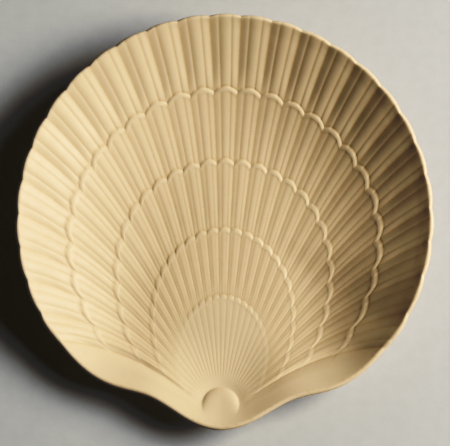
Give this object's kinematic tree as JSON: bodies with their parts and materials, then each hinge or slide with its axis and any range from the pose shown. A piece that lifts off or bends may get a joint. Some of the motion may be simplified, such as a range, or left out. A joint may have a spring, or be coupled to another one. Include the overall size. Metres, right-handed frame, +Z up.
{
  "type": "salad plate",
  "caption": "Round glazed ceramic salad plate moulded as a ribbed scallop shell, with stepped scalloped tiers, a hinge boss, side ears and a low foot ring to stand on.",
  "frame": {"origin": "on the table, under the middle of the round rim", "axes": "+Z up out of the dish, +Y towards the top edge of the fan, -Y towards the hinge tip, +X to the right"},
  "size_m": [0.2098, 0.2108, 0.031],
  "materials": {
    "bare_clay": "matt fired stoneware",
    "cream_glaze": "satin gloss cream glaze"
  },
  "bodies": {
    "root": {"plate_body": "bare_clay", "foot_ring": "bare_clay", "face_glaze": "cream_glaze", "back_glaze": "cream_glaze", "foot_well_glaze": "cream_glaze"}
  },
  "joints": []
}
